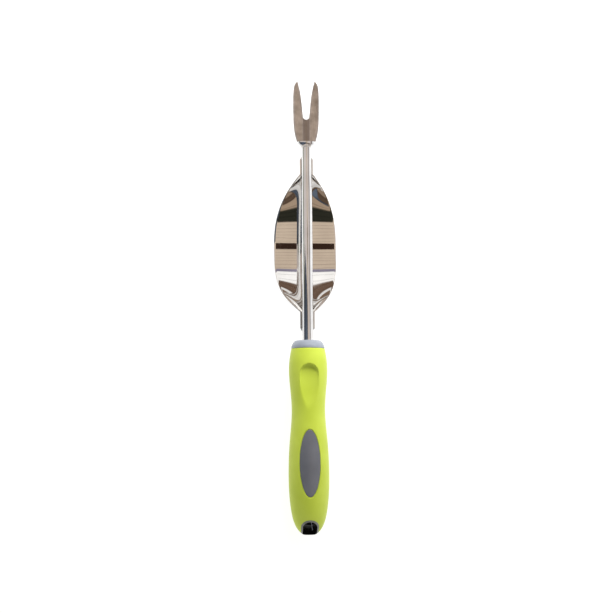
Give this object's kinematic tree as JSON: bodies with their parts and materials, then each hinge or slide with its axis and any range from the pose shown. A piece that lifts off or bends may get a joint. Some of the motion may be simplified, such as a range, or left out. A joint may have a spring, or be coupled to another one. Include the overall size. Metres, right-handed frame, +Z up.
{
  "type": "hand weeder with fulcrum plate",
  "caption": "Two-pronged stainless hand weeder with a bowed leverage plate behind the shaft and a soft-grip handle with a thumb recess and a hang hole.",
  "frame": {"origin": "centre of the footprint, on the surface that the tool lies on", "axes": "+Y along the tool towards the fork tips, +Z up out of the thumb side, X across; the tool lies on its back on the leverage plate and the belly of the handle"},
  "size_m": [0.0476, 0.3384, 0.0324],
  "materials": {
    "brushed_blade": "brushed stainless",
    "polished_steel": "polished stainless",
    "mirror_sheet": "mirror-polished stainless sheet",
    "grey_moulding": "satin moulded polypropylene",
    "core_moulding": "moulded polypropylene",
    "soft_lime": "matte soft-touch elastomer",
    "dark_moulding": "satin moulded polypropylene",
    "eye_moulding": "moulded polypropylene"
  },
  "bodies": {
    "root": {"fork_head": "brushed_blade", "fork_neck_weld": "polished_steel", "shaft_tube": "polished_steel", "fulcrum_plate": "mirror_sheet", "front_plate_weld": "polished_steel", "rear_plate_weld": "polished_steel", "front_collar": "grey_moulding", "handle_core": "core_moulding", "grip_sleeve": "soft_lime", "oval_badge": "dark_moulding", "hang_hole_eye": "eye_moulding", "shaft_retaining_pin": "polished_steel"}
  },
  "joints": []
}
